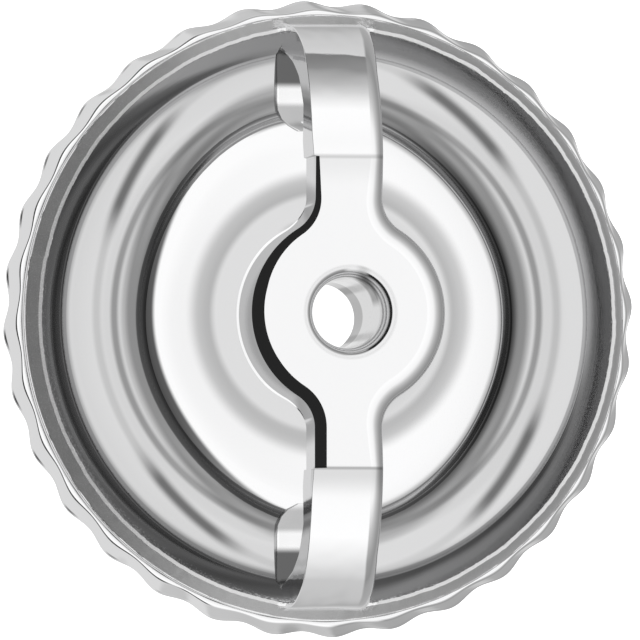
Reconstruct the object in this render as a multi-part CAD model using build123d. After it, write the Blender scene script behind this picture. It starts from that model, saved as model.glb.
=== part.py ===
from build123d import *
from math import cos, pi, radians, sin, sqrt, tan
import os

# A stud earring's setting, seen from behind: a round cup of white metal with a raised boss in its
# middle, a bridge soldered across its mouth, and a ring of twisted wire round its edge. The front
# is a plain bezel for a round flat stone or ornament.
# Millimetres. Z is the axis of the post: the front of the earring faces down and the back faces up.

# Post hole
bore_r = 0.50            # clear hole for a post of about 0.9 mm
bore_edge_r = 0.15       # rounding where the post goes in, at the back
bore_exit_w = 0.03       # broken edge where it comes out, in the seat

# Back of the cup: a raised boss, a ring-shaped hollow and a slope up to the lip. Slopes are in
# degrees; each arc turns to the slope of the next.
crest_r = 1.84           # circle where the boss is level, outside its neck
crest_z = 1.22
neck_foot_r = 0.80       # hollow rounding from there up to the neck
neck_foot_deg = 67.7     # slope at which it meets the neck
dome_arc_r = 2.73        # the boss falls gently from there
dome_deg = 14.0
shoulder_arc_r = 0.27    # then rounds over to its flank
flank_deg = 52.0
flank_w = 0.04
foot_arc_r = 0.36        # hollow rounding at the foot of the flank
foot_deg = 8.0
floor_arc_r = 1.84       # wide hollow of the floor
floor_deg = 16.0
rise_arc_r = 0.41        # rounding up to the slope under the lip
rise_deg = 50.0
rise_w = 0.29

# Front of the cup, hidden in the photograph
seat_z = 0.66            # floor of the bezel, on which the stone is set
bezel_t = 0.38           # wall of the bezel beside the stone, behind the wire
land_w = 0.25            # level edge of the bezel, on which the setting rests
bezel_h = 0.396          # tapered stretch of its outside, up to the wire's groove

# Edge of the cup
lip_w = 0.05             # level top of the lip
groove_wall = 0.03       # how far the wire's groove lies outside the inner edge of the lip
flange_t = 0.15          # filed ledge over the inner half of the wire
flange_w = 0.19          # how far it stands out from the groove
flange_edge_r = 0.02

# Ring of twisted wire
wire_r = 0.20
wire_gap = 0.02
wire_lift = 0.115        # room under the wire, above the foot of its groove
lobe_count = 32
lobe_depth = 0.13        # hollows between the lobes
lobe_twist = 0.60        # share of a lobe's pitch by which the wire turns over its own height

# Bridge across the back, a thick strap with a round hub
bridge_top_z = 3.50
hub_r = 1.415
hub_t = 1.45
strap_w = 1.00           # beside the hub
strap_t = 1.00           # level part, flush with the top of the hub
arm_end_w = 1.32         # at the lip, where the strap was hammered wider
neck_r = 0.55            # hollow corners between hub and strap
crease_y = 2.24          # where the level middle ends and the arms begin to fall
crease_deg = 8.0         # fall of the arm where it leaves the crease
arm_over = 0.07          # how far the arms reach out over the lip
arm_end_t = 0.40         # strap at the fold
arm_slant_w = 0.85       # the slanted part of the arm's underside, from there to its level part
arm_bow = 0.10           # how far its slanted part bows out from a straight line
fold_drop = 0.045        # inner corner of the fold, below the end of the arm's bend
solder_sink = 0.12       # how far the arms go down into the lip
round_edge_r = 0.22      # one edge of the level part is rounded
filed_edge = 0.14        # the other is filed to a bevel

# Ends of the strap, folded back under the arms into the trough
tongue_w = 1.40
tongue_reach = 0.50      # free end, this far past the lowest circle of the hollow
tongue_end_h = 0.40      # and this far above it
tongue_end_r = 0.42
tongue_t = 0.20          # stands this far off the floor
tongue_sink = 0.08       # how far it is bedded into the floor
tongue_inset = 0.13      # its outer edge, inside the lip
touch = 1e-4             # how near an edge lies to a plane to count as on it

# Sizes that follow from those
bends = [
    (dome_arc_r, 0, dome_deg),
    (shoulder_arc_r, dome_deg, flank_deg),
    (flank_w, flank_deg, flank_deg),
    (foot_arc_r, flank_deg, foot_deg),
    (floor_arc_r, foot_deg, 0),
    (floor_arc_r, 0, -floor_deg),
    (rise_arc_r, -floor_deg, -rise_deg),
    (rise_w, -rise_deg, -rise_deg),
]


def next_point(start, size, slope_in, slope_out):
    """End of an arc of that radius, or of a straight run that wide where the slope stays."""
    first, last = radians(slope_in), radians(slope_out)
    if slope_in == slope_out:
        return (start[0] + size, start[1] - size * tan(first))
    turn = 1 if slope_out > slope_in else -1
    return (start[0] + turn * size * (sin(last) - sin(first)),
            start[1] + turn * size * (cos(last) - cos(first)))


back = [(crest_r, crest_z)]
for bend in bends:
    back.append(next_point(back[-1], *bend))
floor_r, floor_z = back[5]
lip_r, lip_z = back[-1]
groove_r = lip_r + groove_wall
seat_r = groove_r - bezel_t
land_out = seat_r + land_w
ring_r = groove_r + wire_gap + wire_r
ring_z = bezel_h + wire_lift + wire_r
ring_outer_r = ring_r + wire_r
flange_z = ring_z + wire_r + wire_gap
flange_r = groove_r + flange_w
boss_r = crest_r - neck_foot_r * sin(radians(neck_foot_deg))
hub_z = bridge_top_z - hub_t
neck_top_z = hub_z + hub_t / 2
strap_z = bridge_top_z - strap_t
crease_slope = radians(crease_deg)
arm_end_y = lip_r + arm_over
arm_r = (arm_end_y - crease_y) / (1 - sin(crease_slope))
arm_end_z = bridge_top_z - arm_r * cos(crease_slope)
fold_y = arm_end_y - arm_end_t
fold_z = arm_end_z - fold_drop
arm_level_y = fold_y - arm_slant_w
tongue_end_y = floor_r - tongue_reach
tongue_end_z = floor_z + tongue_end_h


def cup_section():
    """Half section of the cup, from the post hole out to the lip and back along the front."""
    foot = []
    for slope in (radians(neck_foot_deg), radians(neck_foot_deg / 2)):
        foot.append((crest_r - neck_foot_r * sin(slope), crest_z + neck_foot_r * (1 - cos(slope))))
    outline = [
        Line((bore_r, neck_top_z), (boss_r, neck_top_z)),
        Line((boss_r, neck_top_z), foot[0]),
        ThreePointArc(foot[0], foot[1], back[0]),
    ]
    for start, end, (size, slope_in, slope_out) in zip(back, back[1:], bends):
        if slope_in == slope_out:
            outline.append(Line(start, end))
        else:
            middle = next_point(start, size, slope_in, (slope_in + slope_out) / 2)
            outline.append(ThreePointArc(start, middle, end))

    flange_top = flange_z + flange_t
    corners = [
        (lip_r, lip_z),
        (lip_r + lip_w, lip_z),
        (flange_r - flange_edge_r, flange_top),
        (flange_r, flange_top - flange_edge_r),
        (flange_r, flange_z),
        (groove_r, flange_z),
        (groove_r, bezel_h),
        (land_out, 0),
        (seat_r, 0),
        (seat_r, seat_z),
        (bore_r + bore_exit_w, seat_z),
        (bore_r, seat_z + bore_exit_w),
        (bore_r, neck_top_z),
    ]
    for start, end in zip(corners, corners[1:]):
        outline.append(Line(start, end))
    return make_face(outline)


def cup():
    return revolve(Plane.XZ * cup_section(), Axis.Z)


def arm():
    """One falling arm of the strap, from the crease to the lip, at positive Y."""
    middle = (crease_slope + pi / 2) / 2
    crease = (crease_y, bridge_top_z)
    end = (arm_end_y, arm_end_z)
    top_mid = (arm_end_y - arm_r + arm_r * sin(middle), arm_end_z + arm_r * cos(middle))
    sunk_z = fold_z - solder_sink
    under = (arm_level_y, strap_z)
    fold = (fold_y, fold_z)
    run = (fold[0] - under[0], fold[1] - under[1])
    length = sqrt(run[0] ** 2 + run[1] ** 2)
    under_mid = ((under[0] + fold[0]) / 2 - arm_bow * run[1] / length,
                 (under[1] + fold[1]) / 2 + arm_bow * run[0] / length)
    side = extrude(Plane.YZ * make_face([
        ThreePointArc(crease, top_mid, end),
        Line(end, (arm_end_y, sunk_z)),
        Line((arm_end_y, sunk_z), (fold_y, sunk_z)),
        Line((fold_y, sunk_z), fold),
        ThreePointArc(fold, under_mid, under),
        Line(under, (crease_y, strap_z)),
        Line((crease_y, strap_z), crease),
    ]), arm_end_w, both=True)
    reach_y = arm_end_y + arm_over
    reach_w = strap_w + (arm_end_w - strap_w) * (reach_y - crease_y) / (arm_end_y - crease_y)
    plan = make_face(Polyline((-strap_w / 2, crease_y), (strap_w / 2, crease_y), (reach_w / 2, reach_y),
                              (-reach_w / 2, reach_y), close=True))
    return side & extrude(plan, 2 * bridge_top_z)


def bridge():
    """Strap with a thicker round hub: hollow corners between them, one level edge bevelled, one rounded."""
    plan = Circle(hub_r) + Rectangle(strap_w, 2 * crease_y)
    corners = plan.vertices().filter_by(lambda v: abs(abs(v.X) - strap_w / 2) < touch
                                        and abs(v.Y) < crease_y - touch)
    plate = Pos(0, 0, strap_z) * extrude(fillet(corners, neck_r), strap_t)
    plate = chamfer(top_edges(plate, -1), filed_edge)
    plate = fillet(top_edges(plate, 1), round_edge_r)
    pad = Pos(0, 0, hub_z) * extrude(Circle(hub_r), hub_t - strap_t)
    return plate + pad + arm() + mirror(arm(), Plane.XZ)


def top_edges(solid, side):
    """Edges round the level top of the bridge, on the side of positive or negative X."""
    return solid.edges().filter_by(lambda e: abs(e.center().Z - bridge_top_z) < touch
                                   and abs(e.center().Y) < crease_y - touch
                                   and e.center().X * side > touch)


def tongue():
    """End of the strap folded back under the arm, bedded in the floor of the cup, at positive Y."""
    sunk_z = floor_z - tongue_sink
    outer_y = lip_r - tongue_inset
    side = extrude(Plane.YZ * make_face([
        Line((fold_y, fold_z), (outer_y, fold_z)),
        Line((outer_y, fold_z), (outer_y, sunk_z)),
        Line((outer_y, sunk_z), (tongue_end_y, sunk_z)),
        Line((tongue_end_y, sunk_z), (tongue_end_y, tongue_end_z)),
        ThreePointArc((tongue_end_y, tongue_end_z), (floor_r, floor_z + tongue_t), (fold_y, fold_z)),
    ]), tongue_w, both=True)
    reach = lip_r - tongue_end_y
    plan = Pos(0, tongue_end_y + reach / 2) * Rectangle(tongue_w, reach)
    corners = plan.vertices().sort_by(Axis.Y)[:2]
    return side & extrude(fillet(corners, tongue_end_r), bridge_top_z)


def setting_body():
    """Cup and bridge are soldered together, so they are one solid with the post hole through both."""
    solid = cup() + bridge() + tongue() + mirror(tongue(), Plane.XZ)
    rounding = Pos(0, 0, bridge_top_z) * revolve(Plane.XZ * make_face([
        Line((0, 0), (bore_r + bore_edge_r, 0)),
        RadiusArc((bore_r + bore_edge_r, 0), (bore_r, -bore_edge_r), -bore_edge_r),
        Line((bore_r, -bore_edge_r), (0, -bore_edge_r)),
        Line((0, -bore_edge_r), (0, 0)),
    ]), Axis.Z)
    bore = extrude(Circle(bore_r), bridge_top_z)
    return solid - bore - rounding


def lobed_outline(turn):
    """Plan of the wire ring: one arc for each lobe, turned about Z by a share of the pitch."""
    pitch = 2 * pi / lobe_count
    hollow_r = ring_outer_r - lobe_depth
    arcs = []
    for i in range(lobe_count):
        points = []
        for step, radius in ((0, hollow_r), (0.5, ring_outer_r), (1, hollow_r)):
            angle = pitch * (i + step + turn)
            points.append((radius * cos(angle), radius * sin(angle)))
        arcs.append(ThreePointArc(*points))
    return make_face(arcs)


def rope_edge():
    """Twisted wire: a round ring cut to lobes that lean with the turn of the strands."""
    sections = []
    for level in (-1, 0, 1):
        z = ring_z + level * wire_r
        sections.append(Pos(0, 0, z) * lobed_outline(level * lobe_twist / 2))
    lobes = loft(sections)
    ring = Pos(0, 0, ring_z) * Torus(ring_r, wire_r)
    return ring & lobes


os.makedirs("parts", exist_ok=True)
export_step(setting_body(), "parts/setting_body.step")
export_step(rope_edge(), "parts/rope_edge.step")
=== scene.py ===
import math
import bmesh
import bpy
from mathutils import Matrix, Vector, noise


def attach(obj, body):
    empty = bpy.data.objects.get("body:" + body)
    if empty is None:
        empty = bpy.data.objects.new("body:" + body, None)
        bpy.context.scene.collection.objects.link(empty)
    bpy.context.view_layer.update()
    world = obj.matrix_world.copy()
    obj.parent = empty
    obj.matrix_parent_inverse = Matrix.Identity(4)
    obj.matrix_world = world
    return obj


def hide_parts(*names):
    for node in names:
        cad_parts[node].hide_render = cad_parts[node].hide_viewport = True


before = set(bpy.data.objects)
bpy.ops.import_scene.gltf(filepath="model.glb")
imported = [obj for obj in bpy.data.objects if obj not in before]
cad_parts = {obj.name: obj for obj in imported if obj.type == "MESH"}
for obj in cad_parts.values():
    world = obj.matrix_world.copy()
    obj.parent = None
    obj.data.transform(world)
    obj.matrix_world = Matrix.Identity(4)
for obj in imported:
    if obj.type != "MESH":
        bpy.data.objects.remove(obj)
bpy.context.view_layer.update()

# Cup
# One casting of rhodium-plated silver: a bezel in front, a neck round the post hole, a round boss and
# a ring-shaped hollow that rises to the lip. The inside was turned and buffed to a soft mirror, and
# the lip was filed to a slope that stayed grey and grainy above a thin polished flange.
# Its colour carries painted reflections as dark rings in the hollow, painted shade deep in the post hole and
# painted shade on the filed slope towards negative X.
mm = 0.001
bore_r = 0.50 * mm
bore_exit = 0.03 * mm
neck_r = 1.10 * mm
neck_foot_r = 0.80 * mm
neck_rise = 0.30 * mm    # how far the neck runs up inside the hub
crest_r = 1.84 * mm
crest_z = 1.22 * mm
# radius of each arc in mm, or width of each straight run, and the slopes it turns from and to
bends = [
    (2.73, 0, 14), (0.27, 14, 52), (0.04, 52, 52), (0.36, 52, 8),
    (1.84, 8, -16), (0.41, -16, -50), (0.29, -50, -50),
]
lip_w = 0.05 * mm
groove_wall = 0.03 * mm
groove_z = 0.396 * mm
flange_t = 0.15 * mm
flange_w = 0.19 * mm
flange_edge_r = 0.02 * mm
slope_steps = 12
wire_r = 0.20 * mm
wire_gap = 0.02 * mm
wire_lift = 0.115 * mm
seat_z = 0.66 * mm
bezel_t = 0.38 * mm
land_w = 0.25 * mm
land_edge = 0.01 * mm
hub_z = 2.05 * mm
around = 540
weld = 0.0002 * mm
touch = 0.001 * mm

# what the file left: height in mm of its fine and broad waves and how many go to a radius, then how
# much fuller the slope is on the side of positive X, and from how far round
file_waves = [(0.010, 45), (0.012, 9)]
full_side = 0.045 * mm
full_from = 0.2
# the flank of the boss reaches further out beside the strap, between these radii in mm
boss_reach = 0.28 * mm
boss_turn = math.radians(8)
boss_swell = (2.15, 2.5, 2.9, 3.55)


def back_profile(step_deg=2.0):
    """Points of the hollow side, from the crest of the boss out to the lip."""
    points = [(crest_r, crest_z)]
    for size, slope_in, slope_out in bends:
        x, z = points[-1]
        first = math.radians(slope_in)
        if slope_in == slope_out:
            points.append((x + size * mm, z - size * mm * math.tan(first)))
            continue
        steps = max(4, math.ceil(abs(slope_out - slope_in) / step_deg))
        turn = math.copysign(size * mm, slope_out - slope_in)
        for i in range(1, steps + 1):
            slope = math.radians(slope_in + (slope_out - slope_in) * i / steps)
            points.append((x + turn * (math.sin(slope) - math.sin(first)),
                           z + turn * (math.cos(slope) - math.cos(first))))
    return points


back = back_profile()
lip_r, lip_z = back[-1]
groove_r = lip_r + groove_wall
seat_r = groove_r - bezel_t
ring_r = groove_r + wire_gap + wire_r
ring_z = groove_z + wire_lift + wire_r
flange_z = ring_z + wire_r + wire_gap
flange_top = flange_z + flange_t
flange_r = groove_r + flange_w


def arc(centre, radius, start, end, steps):
    """Points on an arc from one angle to another, in degrees from the first axis."""
    angles = [math.radians(start + (end - start) * i / steps) for i in range(steps + 1)]
    return [(centre[0] + radius * math.cos(a), centre[1] + radius * math.sin(a)) for a in angles]


def cup_section():
    """Closed half section of the cup: back face from the neck out, then the front face back in."""
    foot_deg = math.degrees(math.asin((crest_r - neck_r) / neck_foot_r))
    slope_in = Vector((lip_r + lip_w, lip_z))
    slope_out = Vector((flange_r - flange_edge_r, flange_top))
    return (
        [(bore_r, hub_z + neck_rise), (neck_r, hub_z + neck_rise)]
        + arc((crest_r, crest_z + neck_foot_r), neck_foot_r, 270 - foot_deg, 270, 24)
        + back[1:]
        + [(lip_r + lip_w, lip_z)]
        + [tuple(slope_in.lerp(slope_out, i / slope_steps)) for i in range(1, slope_steps)]
        + arc((flange_r - flange_edge_r, flange_top - flange_edge_r), flange_edge_r, 90, 0, 5)
        + [(flange_r, flange_z), (groove_r, flange_z), (groove_r, groove_z)]
        + [(seat_r + land_w, land_edge), (seat_r + land_w - land_edge, 0), (seat_r + land_edge, 0)]
        + [(seat_r, land_edge), (seat_r, seat_z)]
        + [(bore_r + bore_exit, seat_z), (bore_r, seat_z + bore_exit)]
    )


def filed(radius, height, angle):
    """The file left the lip a little uneven, and its slope fuller on the side of positive X."""
    if radius < lip_r - touch or height < flange_top:
        return radius, height
    place = Vector((math.cos(angle), math.sin(angle), 0))
    ragged = sum(wave * noise.noise(place * waves) for wave, waves in file_waves) * mm
    down = (lip_z - height) / (lip_z - flange_top)
    fuller = full_side * max(0.0, math.cos(angle) + full_from) * 4 * down * (1 - down)
    return radius + (1 - down) * ragged, height + ragged + fuller


def smooth(value, low, high):
    """0 below low and 1 above high, with a soft passage between."""
    t = max(0.0, min(1.0, (value - low) / (high - low)))
    return t * t * (3 - 2 * t)


def bossed(radius, angle):
    """The boss was struck a little long: its flank reaches further out beside the strap."""
    begins, full, still, ends = (r * mm for r in boss_swell)
    share = smooth(radius, begins, full) * (1 - smooth(radius, still, ends))
    return radius + boss_reach * math.sin(angle - boss_turn) ** 4 * share


def turned(section, steps):
    """Patch of a closed section turned about Z; the first row and column come again at the end."""
    rows = []
    for radius, height in section + section[:1]:
        row = []
        for i in range(steps + 1):
            angle = 2 * math.pi * (i % steps) / steps
            r, z = filed(bossed(radius, angle), height, angle)
            row.append((r * math.cos(angle), r * math.sin(angle), z))
        rows.append(row)
    return rows


def stitch(name, patches, crisp_deg=28):
    """One closed mesh from patches, each a grid of points, joined where their borders meet."""
    points = []
    faces = []
    for rows in patches:
        start = len(points)
        width = len(rows[0])
        for row in rows:
            points.extend(row)
        for i in range(len(rows) - 1):
            for j in range(width - 1):
                a = start + i * width + j
                faces.append((a, a + 1, a + width + 1, a + width))
    mesh = bpy.data.meshes.new(name)
    mesh.from_pydata(points, [], faces)
    shape = bmesh.new()
    shape.from_mesh(mesh)
    bmesh.ops.remove_doubles(shape, verts=shape.verts, dist=weld)
    bmesh.ops.recalc_face_normals(shape, faces=shape.faces)
    shape.to_mesh(mesh)
    shape.free()
    mesh.polygons.foreach_set("use_smooth", [True] * len(mesh.polygons))
    mesh.set_sharp_from_angle(angle=math.radians(crisp_deg))
    body = bpy.data.objects.new(name, mesh)
    bpy.context.scene.collection.objects.link(body)
    return body


class Shade:
    """A socket in a shader tree. Sums and products of it add Math nodes to the tree."""

    def __init__(self, tree, socket=None):
        self.tree = tree
        self.socket = socket

    def node(self, kind, settings=None, sockets=None, out=0):
        """Adds any node: its settings are set first, then the values or links of its sockets."""
        made = self.tree.nodes.new("ShaderNode" + kind)
        for key, value in (settings or {}).items():
            if key == "stops":
                ramp = made.color_ramp
                while len(ramp.elements) > 1:
                    ramp.elements.remove(ramp.elements[0])
                ramp.elements[0].position = value[0][0]
                ramp.elements[0].color = grey(value[0][1])
                for place, tone in value[1:]:
                    ramp.elements.new(place).color = grey(tone)
            else:
                setattr(made, key, value)
        for key, value in (sockets or {}).items():
            if isinstance(value, Shade):
                self.tree.links.new(value.socket, made.inputs[key])
            else:
                made.inputs[key].default_value = value
        return Shade(self.tree, made.outputs[out])

    def maths(self, operation, *values):
        return self.node("Math", {"operation": operation}, dict(enumerate(values)))

    def __add__(self, other):
        return self.maths("ADD", self, other)

    __radd__ = __add__

    def __sub__(self, other):
        return self.maths("SUBTRACT", self, other)

    def __rsub__(self, other):
        return self.maths("SUBTRACT", other, self)

    def __mul__(self, other):
        return self.maths("MULTIPLY", self, other)

    __rmul__ = __mul__

    def __truediv__(self, other):
        return self.maths("DIVIDE", self, other)

    def __pow__(self, other):
        return self.maths("POWER", self, other)

    def __abs__(self):
        return self.maths("ABSOLUTE", self)

    def parts(self):
        """X, Y and Z of a vector."""
        split = self.node("SeparateXYZ", None, {0: self}).socket.node
        return [Shade(self.tree, split.outputs[axis]) for axis in "XYZ"]

    def ease(self, low, high):
        """0 below low and 1 above high, with a soft passage between."""
        return self.node("MapRange", {"interpolation_type": "SMOOTHSTEP"},
                         {"Value": self, "From Min": low, "From Max": high})

    def past(self, low, high):
        """The same with both places in mm."""
        return self.ease(low * mm, high * mm)

    def between(self, begins, full, still, ends):
        """A soft band, full in its middle and 0 outside, with its places in mm."""
        return self.past(begins, full) * (1 - self.past(still, ends))


def grey(tone):
    return (tone, tone, tone, 1)


def metal(name, finish):
    """White metal; finish gives its colour, roughness and relief from a place on the piece."""
    material = bpy.data.materials.new(name)
    material.use_nodes = True
    tree = material.node_tree
    skin = tree.nodes["Principled BSDF"]
    skin.inputs["Metallic"].default_value = 1.0
    place = Shade(tree).node("TexCoord", out="Object")
    for socket, value in finish(place).items():
        if isinstance(value, Shade):
            tree.links.new(value.socket, skin.inputs[socket])
        else:
            skin.inputs[socket].default_value = value
    return material


def grain(place, size, detail=2.0):
    """Cloudy noise whose clouds are about that many mm across."""
    return place.node("TexNoise", None, {"Vector": place, "Scale": 1 / (size * mm), "Detail": detail})


def relief(place, height, depth):
    """Bump of a height whose full range stands for that many mm."""
    return place.node("Bump", None, {"Strength": 1.0, "Distance": depth * mm, "Height": height})


def mix_colours(share, first, second):
    """A Mix node has its colour sockets after those for numbers and vectors."""
    return share.node("Mix", {"data_type": "RGBA"}, {"Factor": share, 6: first, 7: second}, out=2)


buffed_silver = (0.93, 0.93, 0.935, 1)
# the dark colour of the painted reflections in the hollow and the painted shade in the post hole
painted_dark = grey(0.03)
filed_lit_tone = grey(0.70)
filed_shaded_tone = grey(0.38)
filed_shade_turn = (-3.7, -1.2)     # painted shade: the slope is darker towards negative X, from the second to the first
# how softly the finishes change at the lip's inner edge, at the top of the flange and in the hollow
lip_edge = (lip_r - 0.006 * mm, lip_r + 0.004 * mm)
flange_edge = (flange_top - 0.01 * mm, flange_top + 0.02 * mm)
hollow_edge = (lip_r - 0.01 * mm, lip_r + 0.03 * mm)
lathe_size, lathe_height = 0.03, 0.05
file_size = 0.018
smudge_size = 0.7
cup_depth = 0.006
worn_marks = (0.3, 1.1)
cup_rough, smudge_rough, filed_rough = 0.055, 0.03, 0.30
# solder that ran out at the strap's four corners: x and y in mm, then the size of a spot and its relief
solder_spots = [(-0.66, 4.20), (0.60, 4.22), (-0.60, -4.13), (0.60, -4.13)]
solder_edge = (0.08, 0.15)
solder_uneven, solder_uneven_size = 0.16, 0.12
solder_height, solder_grain, solder_gloss = 5, 0.1, 0.5
# painted reflections: the dark rings in the hollow run about a centre a little off the post hole, and their
# edges grow ragged towards the lip
ring_centre = (0.075, 0.06)
ring_across = (0.99, 0.14)
fuzz_width, fuzz_size, edge_fuzz = 0.32, 0.035, 0.3
fuzz_from = (3.9, 4.1)
# painted reflections: dark rings painted into the hollow's colour, with radii in mm where each begins, is
# full, is still full and ends, its depth, how far it bends outwards beside the strap, and how its depth
# varies round it
painted_rings = [
    (1.0, 1.1, 1.72, 2.12, 0.26, 0, "even"), (1.68, 1.80, 1.93, 2.15, 0.34, 0, "even"),
    (2.55, 2.62, 2.70, 2.84, 0.93, 0.42, "less beside the strap"),
    (2.62, 2.78, 2.90, 3.06, 0.75, 0.42, "less beside the strap"),
    (3.03, 3.10, 3.13, 3.20, 0.55, 0.1, "less beside the strap"),
    (2.90, 3.00, 3.70, 3.85, 0.28, 0, "even"),
    (3.28, 3.36, 3.39, 3.47, 0.22, 0.43, "less beside the strap"),
    (3.70, 3.91, 4.20, 4.30, 0.65, 0, "more at positive X"),
    (3.23, 3.36, 3.39, 3.52, 0.75, 0.43, "short arcs"),
]
less_beside = 0.45
more_per_mm = 0.055
arcs_from, arcs_to = (0.02, 0.14), (0.42, 0.70)
# painted shade: the far end of the post hole is darkened
bore_skin = (0.60, 0.64)
hole_shade_to, hole_shade_depth = (1.42, 1.52), 0.62
front_to = (0.70, 0.75)


def solder_on(place, x, y, slope):
    """Share of solder on the filed slope."""
    solder = 0
    for spot_x, spot_y in solder_spots:
        off_x = x - spot_x * mm
        off_y = y - spot_y * mm
        off = (off_x * off_x + off_y * off_y) ** 0.5
        off = off + (grain(place, solder_uneven_size) - 0.5) * (solder_uneven * mm)
        solder = solder + (1 - off.past(*solder_edge)) * slope
    return solder


def painted_reflections_in_hollow(x, y, radius, fuzz):
    """How dark the painted reflection rings make each place of the hollow."""
    from_x = x - ring_centre[0] * mm
    from_y = y - ring_centre[1] * mm
    ring_radius = (from_x * from_x + from_y * from_y) ** 0.5
    level = (x * ring_across[0] + y * ring_across[1]) ** 2 / (radius * radius)
    aside = (1 - level) ** 2
    fades = {
        "even": 1,
        "less beside the strap": 1 - less_beside * aside,
        "more at positive X": 1 + x * (more_per_mm / mm),
        "short arcs": aside.ease(*arcs_from) * (1 - aside.ease(*arcs_to)),
    }
    keep = 1
    for begins, full, still, ends, depth, bend_out, fade in painted_rings:
        bent = ring_radius + fuzz - aside * (bend_out * mm)
        keep = keep * (1 - bent.between(begins, full, still, ends) * depth * fades[fade])
    return 1 - keep


def cup_finish(place):
    x, y, z = place.parts()
    radius = (x * x + y * y) ** 0.5
    slope = radius.ease(*lip_edge) * z.ease(*flange_edge)
    solder = solder_on(place, x, y, slope)
    lathe_marks = grain(place.node("CombineXYZ", None, {"X": radius, "Y": z}), lathe_size, 3.0)
    file_marks = grain(place, file_size, 3.0)
    smudge = grain(place, smudge_size, 3.0)
    height = (lathe_marks * lathe_height * (1 - slope) + file_marks * slope * (1 - solder)
              + solder * grain(place, solder_grain) * solder_height)
    worn = slope * (0.5 + file_marks).ease(*worn_marks) * (1 - solder)
    fuzz = (grain(place, fuzz_size) - 0.5) * radius.past(*fuzz_from) * (fuzz_width * mm)
    bore = 1 - radius.past(*bore_skin)
    hollow = z.past(*front_to) * (1 - (radius + edge_fuzz * fuzz).ease(*hollow_edge))
    # painted shade deep in the post hole
    hole_shade = bore * (1 - z.past(*hole_shade_to)) * hole_shade_depth
    # painted reflections in the hollow and painted shade deep in the post hole, both mixed towards the dark
    # colour
    painted_dark_share = painted_reflections_in_hollow(x, y, radius, fuzz) * hollow * (1 - bore) + hole_shade
    # painted shade: the filed slope's grey darkens towards negative X
    filed_tone_and_shade = mix_colours(x.past(*filed_shade_turn), filed_shaded_tone, filed_lit_tone)
    return {
        "Base Color": mix_colours(worn, mix_colours(painted_dark_share, buffed_silver, painted_dark), filed_tone_and_shade),
        "Roughness": cup_rough + smudge_rough * smudge + filed_rough * slope * (1 - solder_gloss * solder),
        "Normal": relief(place, height, cup_depth),
    }


cup = stitch("cup", [turned(cup_section(), around)])
cup.data.materials.append(metal("turned_silver", cup_finish))
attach(cup, "root")
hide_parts("setting_body")

# Bridge
# A thick strap of the same metal with a thicker round hub for the post, bent down to the lip at both
# ends, folded back under itself and soldered. It was mirror polished; one level edge was filed to a
# bevel and the other rubbed round.
# Its colour carries painted shade in the folds, along the crease lines and in the bore, and a painted dark
# reflection down the bore.
top_z = 3.50 * mm
strap_z = 2.50 * mm
hub_r = 1.415 * mm
strap_half = 0.50 * mm
corner_r = 0.55 * mm
crease_y = 2.24 * mm
crease_deg = 8.0
arm_end_y = 4.246 * mm
fold_y = 3.846 * mm
fold_z = 1.15 * mm
arm_level_y = 2.996 * mm
arm_bow = 0.07 * mm
neck_steps = 12
arm_steps = 52
arm_start = 0.004    # share of the arm before its first ring
tongue_end_y = 2.68 * mm
tongue_tip_r = 0.42 * mm
bore_edge_r = 0.15 * mm
mouth_depth = 0.50 * mm
across = 8
edge_steps = 10
support = 0.006 * mm
# size of the bevel and of the rounding along the level part, as pairs of y and size in mm
bevel_sizes = [(2.24, 0.045), (1.6, 0.075), (1.1, 0.105), (0.4, 0.155),
               (-0.8, 0.165), (-1.6, 0.15), (-2.24, 0.15)]
round_sizes = [(2.24, 0.20), (1.4, 0.30), (-1.4, 0.30), (-2.24, 0.20)]
arm_edge = 0.012 * mm
arm_round = 0.20 * mm
tongue_edge = 0.05 * mm
under_edge = 0.08 * mm
ledge_w = 0.035 * mm
pad_y = 0.95 * mm
# half widths of an arm on the side of negative and of positive X, as pairs of its share and mm
arm_left = [(0, 0.535), (0.1, 0.55), (0.6, 0.53), (0.8, 0.56), (1, 0.64)]
arm_right = [(0, 0.50), (0.45, 0.52), (0.8, 0.59), (1, 0.66)]
# the folded end: y and z of its outer face, y and z of its inner face, and its half width, in mm
folded = [
    (4.235, 1.13, 3.840, 1.13, 0.66),
    (4.195, 1.06, 3.830, 1.10, 0.68),
    (4.12, 1.00, 3.810, 1.075, 0.69),
    (4.02, 0.955, 3.775, 1.055, 0.70),
    (3.89, 0.92, 3.710, 1.045, 0.70),
    (3.72, 0.88, 3.610, 1.04, 0.70),
    (3.52, 0.84, 3.470, 1.04, 0.70),
    (3.33, 0.80, 3.320, 1.03, 0.70),
    (3.15, 0.80, 3.160, 1.03, 0.70),
    (2.98, 0.82, 3.010, 1.045, 0.70),
    (2.84, 0.87, 2.880, 1.08, 0.70),
    (2.74, 0.95, 2.780, 1.14, 0.70),
    (2.68, 1.04, 2.700, 1.20, 0.70),
]

neck_y = math.sqrt((hub_r + corner_r) ** 2 - (strap_half + corner_r) ** 2)
hub_deg = math.degrees(math.atan2(neck_y, strap_half + corner_r))
arm_r = (arm_end_y - crease_y) / (1 - math.sin(math.radians(crease_deg)))
arm_end_z = top_z - arm_r * math.cos(math.radians(crease_deg))


def between(table, value):
    """Value of a table with straight runs between its rows, which may rise or fall."""
    rows = sorted(table)
    if value <= rows[0][0]:
        return rows[0][1]
    for (a, low), (b, high) in zip(rows, rows[1:]):
        if value <= b:
            return low + (high - low) * (value - a) / (b - a)
    return rows[-1][1]


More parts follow.
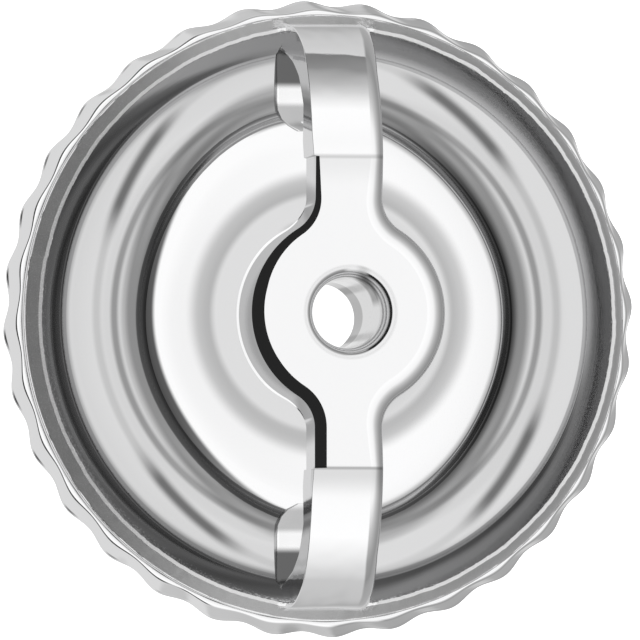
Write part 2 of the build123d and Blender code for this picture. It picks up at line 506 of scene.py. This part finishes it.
def edge_rows(size, bevel):
    """Profile of a long edge as (inwards, downwards) pairs, from the top face to the side wall."""
    rows = [(size + support, 0)]
    for i in range(edge_steps + 1):
        t = i / edge_steps
        inwards = bevel * (1 - t) + (1 - bevel) * (1 - math.sin(t * math.pi / 2))
        downwards = bevel * t + (1 - bevel) * (1 - math.cos(t * math.pi / 2))
        rows.append((size * inwards, size * downwards))
    rows.append((0, size + support))
    return rows


def under_rows(depth):
    """The same along the lower edge, which is only lightly broken."""
    return [(d, depth - h) for d, h in reversed(edge_rows(min(under_edge, depth / 4), 0)[1:])]


def level_edges(y):
    """Profiles of the two top edges of the level part: bevelled at negative X, round at positive X."""
    return (
        edge_rows(between(bevel_sizes, y / mm) * mm, 1),
        edge_rows(between(round_sizes, y / mm) * mm, 0),
    )


def strap_ring(top, under, halves, edges, turn):
    """One ring round the strap at a station, given as (y, z) of its outer and inner face."""
    depth = math.dist(top, under)
    down = ((under[0] - top[0]) / depth, (under[1] - top[1]) / depth)
    left, right = edges
    left_x, right_x = -halves[0], halves[1]
    lower = under_rows(depth)
    top_left, top_right = left_x + left[0][0], right_x - right[0][0]
    low_left, low_right = left_x + lower[-1][0], right_x - lower[-1][0]
    outline = [(top_left + (top_right - top_left) * i / across, 0) for i in range(across)]
    outline += [(right_x - d, h) for d, h in right + lower]
    outline += [(low_right + (low_left - low_right) * i / across, depth) for i in range(1, across + 1)]
    outline += [(left_x + d, h) for d, h in list(reversed(left + lower))[1:]]
    return [(x, turn * (top[0] + down[0] * h), top[1] + down[1] * h) for x, h in outline]


def arm_station(t):
    """Outer and inner face of the arm at a share of its length, from the crease to the fold."""
    slope = math.radians(crease_deg + (90 - crease_deg) * t)
    top = (arm_end_y - arm_r + arm_r * math.sin(slope), arm_end_z + arm_r * math.cos(slope))
    level = arm_level_y - crease_y
    slant = math.dist((arm_level_y, strap_z), (fold_y, fold_z))
    far = t * (level + slant)
    if far < level:
        return top, (crease_y + far, strap_z)
    s = (far - level) / slant
    bow = arm_bow * math.sin(s * math.pi)
    return top, (arm_level_y + (fold_y - arm_level_y) * s + bow, strap_z + (fold_z - strap_z) * s + bow)


def strap_end(turn):
    """Patch of rings from the neck out, down one arm and back to its tongue's tip; turn is 1 or -1 in Y."""
    rings = []
    halves = (strap_half, strap_half)
    for i in range(neck_steps + 1):
        y = neck_y + (crease_y - neck_y) * i / neck_steps
        rings.append(strap_ring((y, top_z), (y, strap_z), halves, level_edges(turn * y), turn))
    edges = (edge_rows(arm_edge, 0), edge_rows(arm_round, 0))
    for i in range(arm_steps + 1):
        t = (i / arm_steps + arm_start) / (1 + arm_start)
        top, under = arm_station(t)
        halves = (between(arm_left, t) * mm, between(arm_right, t) * mm)
        rings.append(strap_ring(top, under, halves, edges, turn))
    edges = (edge_rows(tongue_edge, 0), edge_rows(tongue_edge, 0))
    for outer_y, outer_z, inner_y, inner_z, half in folded:
        reach = max(0.0, (tongue_end_y + tongue_tip_r - inner_y * mm) / tongue_tip_r)
        trim = tongue_tip_r * (1 - math.sqrt(max(0.0, 1 - min(1.0, reach) ** 2)))
        halves = (half * mm - trim, half * mm - trim)
        outer, inner = (outer_y * mm, outer_z * mm), (inner_y * mm, inner_z * mm)
        rings.append(strap_ring(outer, inner, halves, edges, turn))
    tip = [sum(axis) / len(axis) for axis in zip(*rings[-1])]
    rings = [ring + ring[:1] for ring in rings]
    return rings + [[tip] * len(rings[-1])]


def hub_columns(side):
    """Plan of the hub's edge from the upper neck to the lower: (x, y, inward x, inward y)."""
    columns = []
    corner = (strap_half + corner_r, neck_y)
    for x, y in arc(corner, corner_r, 180, 180 + hub_deg, 14):
        columns.append((x, y, (x - corner[0]) / corner_r, (y - corner[1]) / corner_r))
    for x, y in arc((0, 0), hub_r, hub_deg, -hub_deg, 64)[1:]:
        columns.append((x, y, -x / hub_r, -y / hub_r))
    for x, y in arc((corner[0], -corner[1]), corner_r, 180 - hub_deg, 180, 14)[1:]:
        columns.append((x, y, (x - corner[0]) / corner_r, (y + corner[1]) / corner_r))
    return [(side * x, y, side * nx, ny) for x, y, nx, ny in columns]


def hub_edge(side):
    """Patch of the hub's edge on one side, whose underside eases up to the strap's at the necks."""
    patch = []
    for x, y, nx, ny in hub_columns(side):
        pad_z = hub_z + (strap_z - hub_z) * smooth(abs(y), pad_y, neck_y)
        ledge = ledge_w * (pad_z - strap_z) / (hub_z - strap_z)
        under = under_rows(top_z - pad_z)
        profile = level_edges(y)[0 if side < 0 else 1] + under[:1] + [(d - ledge, h) for d, h in under[1:]]
        patch.append([(x + nx * d, y + ny * d, top_z - h) for d, h in profile])
    return patch


def straight(start, end):
    """Points between two corners, without them."""
    return [tuple(a + (b - a) * i / across for a, b in zip(start, end)) for i in range(1, across)]


def hub_patches():
    """Edge of the hub on both sides, its level top and underside, and the bore with its rounded mouth."""
    right_edge, left_edge = hub_edge(1), hub_edge(-1)
    loops = []
    for row in (0, -1):
        right = [column[row] for column in right_edge]
        left = [column[row] for column in reversed(left_edge)]
        loops.append(right + straight(right[-1], left[0]) + left + straight(left[-1], right[0]) + right[:1])
    angles = [math.atan2(y, x) for x, y, _ in loops[0]]
    mouth = [(bore_r + bore_edge_r + support, top_z)]
    mouth += [(bore_r + bore_edge_r * (1 - math.sin(math.radians(a))),
               top_z - mouth_depth * (1 - math.cos(math.radians(a)))) for a in range(0, 91, 6)]
    mouth.append((bore_r, hub_z))
    patches = [right_edge, left_edge]
    for loop, profile in zip(loops, (mouth, mouth[-1:])):
        rings = [[(radius * math.cos(a), radius * math.sin(a), z) for a in angles] for radius, z in profile]
        patches.append([loop] + rings)
    return patches


polished_silver = (0.95, 0.95, 0.955, 1)
# the dark colour of the bridge's painted shade and painted reflection
painted_shade_dark = grey(0.05)
polish_depth = 0.0006
polish_rough, wipe_rough = 0.02, 0.03
hair_size, hair_height = 0.02, 0.3
wipe_size, wipe_height = 0.5, 2
# the hammer left dents near the lip, from the first y to the second
beaten_from = (2.9, 3.7)
dent_size, dent_height = 0.55, 26
# painted shade inside the fold, below fold_top: a grey painted shade at the tongue's end and a darker painted
# shade behind it
fold_top, fold_rough = (1.12, 1.22), 0.12
tongue_end_shade_to, tongue_end_shade_depth = (3.04, 3.14), 0.5
fold_shade_span, fold_shade_depth, fold_shade_rough = (3.30, 3.42, 3.85, 3.95), 0.9, 0.25
# the bore: painted shade at its mouth, with a painted dark reflection that winds down from there
bore_reach, bore_rough = (0.66, 0.70), 0.10
mouth_from, mouth_shade = (2.95, 3.1), 0.16
reflection_z, reflection_fall, reflection_turn = 3.40, 0.42, 1.75
reflection_soft, reflection_depth = (0.18, 0.40), 0.85
reflection_from, reflection_to = (0.15, 0.45), (1.1, 1.5)
# painted shade: faint dark lines along both crease lines, and a painted shade beside each
painted_crease_line, painted_low_crease_line, painted_crease_depth = (0.005, 0.05), (0.005, 0.04), 0.28
crease_shade, crease_shade_depth = (1.75, 2.2, 2.22, 2.26), 0.10
low_shade, low_shade_depth = (-2.7, -2.3, -2.24, -2.21), 0.28
level_from = (3.2, 3.3)


def polished_finish(place, dents=0):
    """Mirror polish with hairlines and the soft waves of wiping."""
    wipe = grain(place, wipe_size, 3.0)
    height = hair_height * grain(place, hair_size) + wipe * wipe_height + dents
    return {
        "Base Color": polished_silver,
        "Roughness": polish_rough + wipe_rough * wipe,
        "Normal": relief(place, height, polish_depth),
    }


def bridge_finish(place):
    """Polished and a little beaten near the lip, with painted shade inside the fold of each tongue, along the
    crease lines and in the bore, and a painted dark reflection winding down the bore.
    """
    x, y, z = place.parts()
    far = abs(y)
    finish = polished_finish(place, far.past(*beaten_from) * grain(place, dent_size, 1.0) * dent_height)
    low = 1 - z.past(*fold_top)
    # painted shade on the tongue inside the fold: grey at its end, darker behind
    tongue_end_shade = low * (1 - far.past(*tongue_end_shade_to)) * tongue_end_shade_depth
    fold_shade = low * far.between(*fold_shade_span) * fold_shade_depth
    bore = 1 - ((x * x + y * y) ** 0.5).past(*bore_reach)
    turn = y.maths("ARCTAN2", y, x)
    # painted reflection: a dark band winding down the bore
    off_bore_reflection = abs(z - (reflection_z * mm - (reflection_turn - turn) * (reflection_fall * mm)))
    bore_reflection = bore * (1 - off_bore_reflection.past(*reflection_soft)) * turn.ease(*reflection_from) * (1 - turn.ease(*reflection_to))
    # painted shade along both crease lines and beside them
    crease_shade_lines = 1 - abs(y - crease_y).past(*painted_crease_line) + 1 - abs(y + crease_y).past(*painted_low_crease_line)
    shades = y.between(*crease_shade) * crease_shade_depth + y.between(*low_shade) * low_shade_depth
    painted_shade_marks = ((crease_shade_lines * painted_crease_depth + shades) * z.past(*level_from) + fold_shade + tongue_end_shade
             + bore * z.past(*mouth_from) * mouth_shade + bore_reflection * reflection_depth)
    # painted shade and painted reflection mix the polish towards the dark colour
    finish["Base Color"] = mix_colours(painted_shade_marks, polished_silver, painted_shade_dark)
    finish["Roughness"] += fold_shade_rough * fold_shade + fold_rough * low + bore_rough * bore
    return finish


bridge = stitch("bridge", [strap_end(1), strap_end(-1)] + hub_patches())
bridge.data.materials.append(metal("polished_silver", bridge_finish))
bridge.visible_glossy = False
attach(bridge, "root")
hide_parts("setting_body")

# Rope edge
# One thick silver wire with a rolled twist, like a coarse rope, laid round the bezel against the foot
# of the filed slope and closed to a ring. Each lobe leans with the twist.
lobes = 32
lobe_phase_deg = 2.0
lobe_dip = 0.32
lobe_lean = 0.5
crest_sway = 0.02 * mm
# half section of the worn wire as shares of its radius: a narrow crest and a long outer side
wire_section = [(0, 1), (0.13, 0.98), (0.28, 0.84), (0.46, 0.36), (0.64, -0.12), (0.81, -0.58),
                (0.97, -1), (0.4, -1), (-0.5, -0.9), (-1, -0.45), (-1, 0.3), (-0.62, 0.82), (-0.2, 0.98)]
curve_steps = 4
wire_steps = 1152


def wire_outline():
    """Closed smooth curve through the section's points, as shares of the wire's radius."""
    count = len(wire_section)
    outline = []
    for i in range(count):
        before, start, end, after = (Vector(wire_section[(i + k) % count]) for k in (-1, 0, 1, 2))
        for j in range(curve_steps):
            t = j / curve_steps
            tangent_in = (end - before) / 2
            tangent_out = (after - start) / 2
            outline.append(start * (2 * t ** 3 - 3 * t ** 2 + 1) + tangent_in * (t ** 3 - 2 * t ** 2 + t)
                           + end * (3 * t ** 2 - 2 * t ** 3) + tangent_out * (t ** 3 - t ** 2))
    return [Vector((max(-1, min(1, p.x)), max(-1, min(1, p.y)))) for p in outline]


def rope_rows():
    """Patch of sections round the ring; the outer side dips between lobes and the crest sways with it."""
    outline = wire_outline()
    rows = []
    for i in range(wire_steps + 1):
        u = 2 * math.pi * (i % wire_steps) / wire_steps
        row = []
        for point in outline + outline[:1]:
            wave = (lobes * (u - math.radians(lobe_phase_deg)) + lobe_lean * point.y) / 2
            dip = math.sin(wave) ** 2
            out = wire_r * point.x * (1 - (lobe_dip * dip if point.x > 0 else 0)) - crest_sway * dip
            r = ring_r + out
            row.append((r * math.cos(u), r * math.sin(u), ring_z + wire_r * point.y))
        rows.append(row)
    return rows


rope = stitch("rope_wire", [rope_rows()], crisp_deg=60)
rope.data.materials.append(metal("wire_silver", polished_finish))
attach(rope, "root")
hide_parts("rope_edge")

# Studio
# A lit white table under the setting, a soft white room round it with a dark band along its left
# side, and a long lens over the setting, a little to its lower left.
table_half = 0.6
table_grey, table_rough, table_glow = 0.8, 0.6, 0.95

floor = stitch("table", [[[(-table_half, -table_half, 0), (table_half, -table_half, 0)],
                          [(-table_half, table_half, 0), (table_half, table_half, 0)]]])
table_top = bpy.data.materials.new("lit_table")
table_top.use_nodes = True
table_skin = table_top.node_tree.nodes["Principled BSDF"]
table_skin.inputs["Base Color"].default_value = grey(table_grey)
table_skin.inputs["Roughness"].default_value = table_rough
table_skin.inputs["Emission Color"].default_value = grey(1)
table_skin.inputs["Emission Strength"].default_value = table_glow
floor.data.materials.append(table_top)
floor.visible_glossy = False

frame_px = 640
px_per_mm = 69.0
lean = math.radians(9.3)
lean_side = (-0.977, -0.213)
centre_px = (320.2, 318.6)
camera_far = 0.30
toward = Vector((lean_side[0] * math.sin(lean), lean_side[1] * math.sin(lean), math.cos(lean))).normalized()
right = Vector((0, 1, 0)).cross(toward).normalized()
up = toward.cross(right)
lens_data = bpy.data.cameras.new("long_lens")
camera = bpy.data.objects.new("camera", lens_data)
bpy.context.scene.collection.objects.link(camera)
lens_data.lens = camera_far * lens_data.sensor_width / (frame_px / px_per_mm * mm)
lens_data.clip_start = 0.01
lens_data.clip_end = 10
aim = Vector((0, 0, ring_z))
aim -= right * (centre_px[0] - frame_px / 2) / px_per_mm * mm
aim += up * (centre_px[1] - frame_px / 2) / px_per_mm * mm
facing = Matrix((right, up, toward)).transposed().to_4x4()
camera.matrix_world = Matrix.Translation(aim + toward * camera_far) @ facing
bpy.context.scene.camera = camera

# brightness of the room from straight above, 0, to straight below, 180 degrees, towards each side
up_stops = [(0, 0.95), (9, 0.97), (16, 1.05), (54, 1.05), (60, 0.90), (67, 0.68), (74, 0.52), (82, 0.41),
            (90, 0.28), (104, 0.21), (106, 0.68), (118, 0.64), (147, 0.55), (180, 0.5)]
left_stops = [(0, 0.95), (9, 0.97), (16, 1.05), (72, 1.05), (77, 0.02), (114, 0.02), (121, 0.72), (180, 0.72)]
right_stops = [(0, 0.95), (9, 0.97), (16, 1.05), (45, 0.95), (66, 0.58), (80, 0.44), (95, 0.34), (110, 0.29),
               (122, 0.36), (150, 0.42), (162, 0.75), (180, 0.85)]
low_stops = [(0, 0.95), (9, 0.97), (16, 1.05), (66, 1.05), (80, 0.92), (95, 0.78), (110, 0.6), (147, 0.55),
             (180, 0.5)]
side_share = (0.03, 0.12)
seam = 0.02
bounces = (2.2, 2.8)
bounce_grey = 0.72
not_zero = 0.0001

room = bpy.data.worlds.new("room")
room.use_nodes = True
bpy.context.scene.world = room
room_tree = room.node_tree
way_x, way_y, way_z = Shade(room_tree).node("TexCoord", out="Generated").parts()
from_above = way_z.maths("ARCCOSINE", way_z) / math.pi


def room_light(stops):
    """Brightness of the room by the angle from straight above."""
    peak = max(tone for _, tone in stops)
    shares = [(deg / 180, tone / peak) for deg, tone in stops]
    return from_above.node("ValToRGB", {"stops": shares}, {"Fac": from_above}) * peak


sideways = (way_x * way_x / (way_x * way_x + way_y * way_y + not_zero)).ease(*side_share)
leftward = (way_x * -1).ease(-seam, seam)
downward = (way_y * -1).ease(-seam, seam)
sides = room_light(left_stops) * leftward + room_light(right_stops) * (1 - leftward)
ends = room_light(low_stops) * downward + room_light(up_stops) * (1 - downward)
glow = sides * sideways + ends * (1 - sideways)
again = Shade(room_tree).node("LightPath", out="Ray Depth").ease(*bounces)
glow = glow * (1 - again) + again * bounce_grey
seen = Shade(room_tree).node("LightPath", out="Is Camera Ray")
background = room_tree.nodes["Background"]
room_tree.links.new((glow * (1 - seen) + seen).socket, background.inputs["Color"])
bpy.context.scene.view_settings.view_transform = "Standard"
